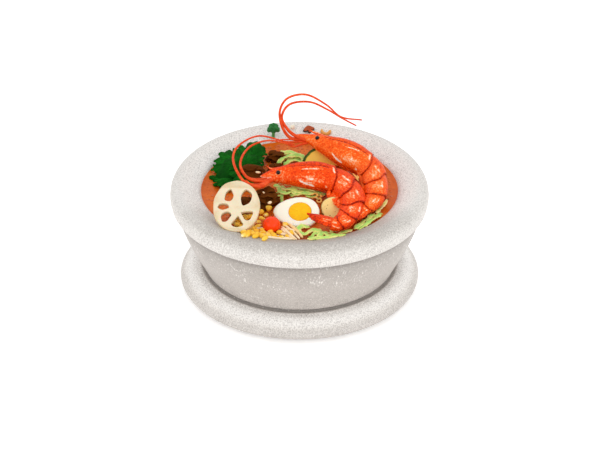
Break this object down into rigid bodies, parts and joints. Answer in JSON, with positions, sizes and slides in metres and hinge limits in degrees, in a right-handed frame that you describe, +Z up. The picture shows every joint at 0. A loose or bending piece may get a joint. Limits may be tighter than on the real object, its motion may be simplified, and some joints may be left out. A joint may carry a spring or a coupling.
{
  "type": "bowl of soup curry",
  "caption": "Wide-rimmed stoneware bowl on a round saucer, full of orange curry soup with whole prawns, egg, lotus root and vegetables.",
  "frame": {"origin": "centre of the saucer's flat underside", "axes": "+Z up, -Y towards the side the egg and the lotus slice face, +X to the right of that view"},
  "size_m": [0.2582, 0.2582, 0.1739],
  "materials": {
    "stoneware": "speckled white-grey stoneware, satin",
    "soup": "orange-brown curry soup, wet",
    "prawn_front": "boiled prawn shell, red, wet",
    "prawn_back": "boiled prawn shell, orange, wet",
    "antenna": "boiled prawn feelers, orange-red",
    "egg_white": "boiled egg white, smooth",
    "egg_yolk": "boiled egg yolk, yellow",
    "lotus_root": "cooked lotus root, cream",
    "tomato": "cherry tomato skin",
    "potato": "cooked potato, pale yellow",
    "pumpkin": "cooked pumpkin with a dark green rind",
    "kale": "dark green curly leaf",
    "maitake": "dark brown maitake mushroom",
    "cabbage": "pale green shredded cabbage",
    "sprouts": "cream bean sprouts",
    "corn": "yellow corn kernels",
    "broccoli": "green broccoli",
    "mushroom": "brown mushroom slice",
    "cashew": "roasted cashew",
    "garlic": "pale garlic clove"
  },
  "bodies": {
    "root": {"saucer": "stoneware", "bowl": "stoneware", "soup": "soup", "prawn_front": "prawn_front", "prawn_back": "prawn_back", "antenna_back_outer": "antenna", "antenna_back_inner": "antenna", "antenna_front_outer": "antenna", "antenna_front_inner": "antenna", "egg_white": "egg_white", "egg_yolk": "egg_yolk", "lotus_slice": "lotus_root", "cherry_tomato": "tomato", "potato_slice": "potato", "pumpkin_wedge": "pumpkin", "broccoli_floret": "broccoli", "mushroom_slice": "mushroom", "cashew": "cashew", "garlic_clove": "garlic", "maitake_left": "maitake", "maitake_back": "maitake", "maitake_middle": "maitake", "maitake_front": "maitake", "kale_leaf": "kale", "cabbage_back": "cabbage", "cabbage_middle": "cabbage", "cabbage_front": "cabbage", "cabbage_right": "cabbage", "sprouts": "sprouts", "corn": "corn"}
  },
  "joints": []
}
